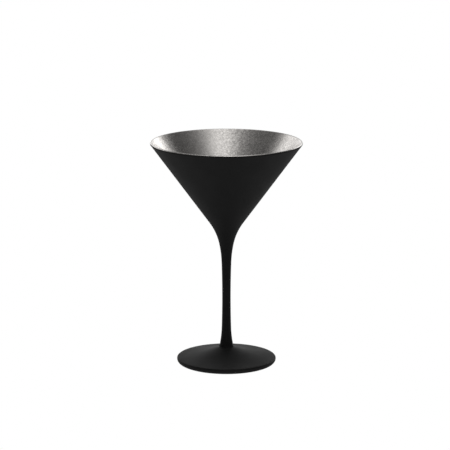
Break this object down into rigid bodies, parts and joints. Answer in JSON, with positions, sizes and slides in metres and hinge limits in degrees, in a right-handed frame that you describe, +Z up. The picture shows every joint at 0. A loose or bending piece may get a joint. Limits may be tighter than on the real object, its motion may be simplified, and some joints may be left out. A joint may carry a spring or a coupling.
{
  "type": "martini glass",
  "caption": "Stemmed cocktail glass: a wide conical bowl, silver inside, on a slim drawn stem and a round foot, matt black all over the outside.",
  "frame": {"origin": "centre of the foot's flat contact ring, on the surface that the glass stands on", "axes": "+Z up along the axis that every piece is turned about; X and Y are free, because the glass is round"},
  "size_m": [0.116, 0.116, 0.173],
  "materials": {
    "clear_glass": "fire-polished, sealed under lacquer",
    "silver_lacquer": "satin metallic lacquer with a fine sparkle",
    "black_lacquer": "smooth matt lacquer"
  },
  "bodies": {
    "root": {"bowl_glass": "clear_glass", "stem_glass": "clear_glass", "foot_glass": "clear_glass", "bowl_silver_lining": "silver_lacquer", "bowl_lacquer": "black_lacquer", "stem_lacquer": "black_lacquer", "foot_lacquer": "black_lacquer"}
  },
  "joints": []
}
